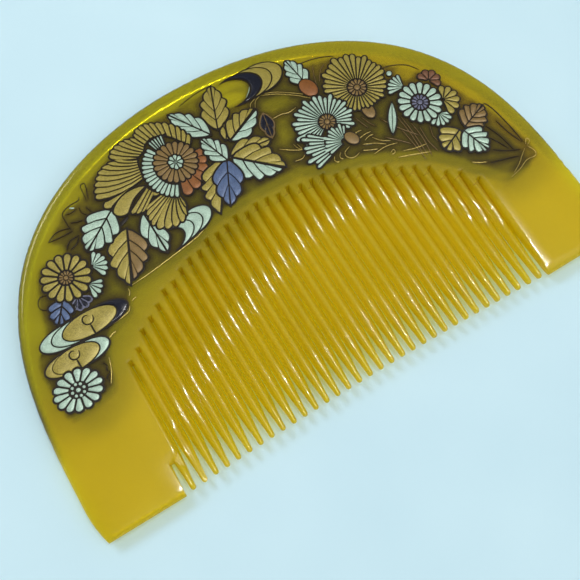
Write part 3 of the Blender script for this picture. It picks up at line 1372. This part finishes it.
def amber():
    """See-through amber plastic: gloss and a clouded surface over clear depth."""
    n = Nodes("amber_plastic")
    wash, olive = n.attribute("wash"), n.attribute("olive")
    near = n.ramp(n.noise(60, 3), (0.3, srgb(226, 206, 30)), (0.7, srgb(240, 220, 42)))
    plain = n.mix(olive, near, n.mix(1.0, near, (0.92, 0.99, 0.85, 1), "MULTIPLY"))
    n.set(Base_Color=n.mix(wash, plain, srgb(104, 88, 34)), Roughness=0.2, IOR=1.5,
          Coat_Weight=0.8, Coat_IOR=1.55, Coat_Roughness=0.04)
    chips = n.mix(n.attribute("rasp"), grey(0.5), n.noise(2600, 4, (1, 0.4, 1), 0.75))
    n.bump(n.mix(0.08, chips, n.noise(1500, 3, (1, 0.25, 1))), 0.00008, 0.7)

    depth = n.mix(olive, srgb(253, 234, 80), srgb(246, 237, 80))
    clear = n.add("ShaderNodeBsdfTransparent", Color=n.mix(wash, depth, srgb(170, 152, 68)))
    both = n.add("ShaderNodeMixShader")
    for value, socket in zip((CLEAR_SHARE, n.shader.outputs[0], clear.outputs[0]), both.inputs):
        n.put(value, socket)
    n.put(both.outputs[0], n.tree.nodes["Material Output"].inputs["Surface"])
    return n.material


# Building the ornament

# The rounding of a relief's edge, from its side inwards. Columns: reach, rise
EDGE = [(0.04, 0.035), (0.05, 0.015)]
LINE_EDGE = [(0.02, 0.02)]
# How far the reliefs reach into the dark plates that they stand on
SUNK = 0.02
# The ground that each motif takes up and keeps free of the motifs under it
COVERS = {name: merged(*plates(name, OUTLINE_W + PIECE_GAP)) for name in ORDER}


def build_ornament(materials):
    """Each motif is a dark plate with metal shapes on it, without what the later motifs cover."""
    for place, name in enumerate(ORDER):
        over = [s for later in ORDER[place + 1:] for s in COVERS[later]]
        _, (_, metal, *_) = rows_of(name)[0]
        shapes, cuts = plates(name, OUTLINE_W)
        piece = Piece()
        piece.add(clip(shapes, cuts + over), SEAT_GAP, PLATE_T, [], 0)
        for part, holes, slot in reliefs(name):
            for shape in part:
                faces = clip([shape], holes + over)
                if faces:
                    piece.add(faces, PLATE_T - SUNK, RELIEF_T, EDGE, slot)
        used = [materials[LIGHT_VEINED.get(name, "outline")], materials[metal]]
        if name in HEARTS:
            used.append(materials[HEARTS[name]])
        obj = piece.finish(name + "_lacquer", used)
        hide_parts(name)


def build_lines(materials):
    covers = [s for name in ORDER for s in COVERS[name]]
    for name in dict.fromkeys(name for name, _ in LINES):
        rows = [(metal, *row) for (owner, metal), group in LINES.items() if owner == name for row in group]
        metals = list(dict.fromkeys(row[0] for row in rows))
        piece = Piece()
        for k, (metal, width, *line) in enumerate(rows):
            faces = clip([ribbon(bent(line), width * LINE_SHARE)], covers)
            if faces:
                # each line is a little higher than the last, so that no two tops lie in one plane
                piece.add(faces, SEAT_GAP, PLATE_T + 0.001 * k, LINE_EDGE, metals.index(metal))
        obj = piece.finish(name + "_lacquer", [materials[metal] for metal in metals])
        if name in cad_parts:
            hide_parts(name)


# Floor, light and camera, in metres

FLOOR_REACH = 2.0
SKY = (0.86, 0.94, 1, 1)
SKY_STRENGTH = 0.4
# Lamps aimed at the comb's middle. Columns: name, place, size, power
LAMPS = [
    ("window", (-0.25, 0.55, 0.55), (0.35, 0.25), 2.6),
    ("room", (0.3, -0.5, 0.7), (0.8, 0.8), 2.1),
    ("lamp", (0.1, 0.0, 0.6), (0.035, 0.035), 0.6),
    ("glint_lamp", (0.1, -0.09, 0.6), (0.05, 0.05), 6),
]
CAMERA_LENS = 52.76
CAMERA_SENSOR_W = 36
CAMERA_CLIP = 0.005
CAMERA_AT = (-0.0271, -0.0498, 0.1385)
CAMERA_FORWARD = (0.1622, 0.2658, -0.9503)
CAMERA_UP = (0.4951, 0.8112, 0.3113)


def build_stage():
    mesh = bpy.data.meshes.new("floor")
    corners = ((-1, -1), (1, -1), (1, 1), (-1, 1))
    mesh.from_pydata([(x * FLOOR_REACH, y * FLOOR_REACH, 0) for x, y in corners], [], [(0, 1, 2, 3)])
    floor = bpy.data.objects.new("floor", mesh)
    bpy.context.scene.collection.objects.link(floor)
    n = Nodes("floor_paper")
    paper = n.ramp(n.noise(30, 2), (0.3, srgb(208, 237, 245)), (0.7, srgb(214, 242, 249)))
    n.set(Base_Color=paper, Roughness=0.8, Specular_IOR_Level=0.1)
    mesh.materials.append(n.material)

    world = bpy.data.worlds.new("studio")
    bpy.context.scene.world = world
    world.use_nodes = True
    background = world.node_tree.nodes["Background"]
    background.inputs["Color"].default_value = SKY
    background.inputs["Strength"].default_value = SKY_STRENGTH


def build_lights():
    for name, place, size, power in LAMPS:
        light = bpy.data.lights.new(name, "AREA")
        light.shape = "RECTANGLE"
        light.size, light.size_y = size
        light.energy = power
        lamp = bpy.data.objects.new(name, light)
        lamp.location = place
        lamp.rotation_euler = (Vector((0, 0, 0)) - Vector(place)).to_track_quat("-Z", "Y").to_euler()
        # the glint lamp only adds glints
        lamp.visible_diffuse = name != "glint_lamp"
        bpy.context.scene.collection.objects.link(lamp)


def build_camera():
    data = bpy.data.cameras.new("camera")
    data.lens = CAMERA_LENS
    data.sensor_width = CAMERA_SENSOR_W
    data.clip_start = CAMERA_CLIP
    camera = bpy.data.objects.new("camera", data)
    bpy.context.scene.collection.objects.link(camera)
    forward = Vector(CAMERA_FORWARD).normalized()
    right = forward.cross(Vector(CAMERA_UP).normalized()).normalized()
    turn = Matrix((right, right.cross(forward), -forward)).transposed()
    camera.matrix_world = Matrix.Translation(CAMERA_AT) @ turn.to_4x4()
    bpy.context.scene.camera = camera


MATERIALS = {key: powder(*row) for key, row in POWDERS.items()}
body = build_body()
body.data.materials.append(amber())
build_ornament(MATERIALS)
build_lines(MATERIALS)
build_stage()
build_lights()
build_camera()
bpy.context.scene.view_settings.view_transform = "Standard"
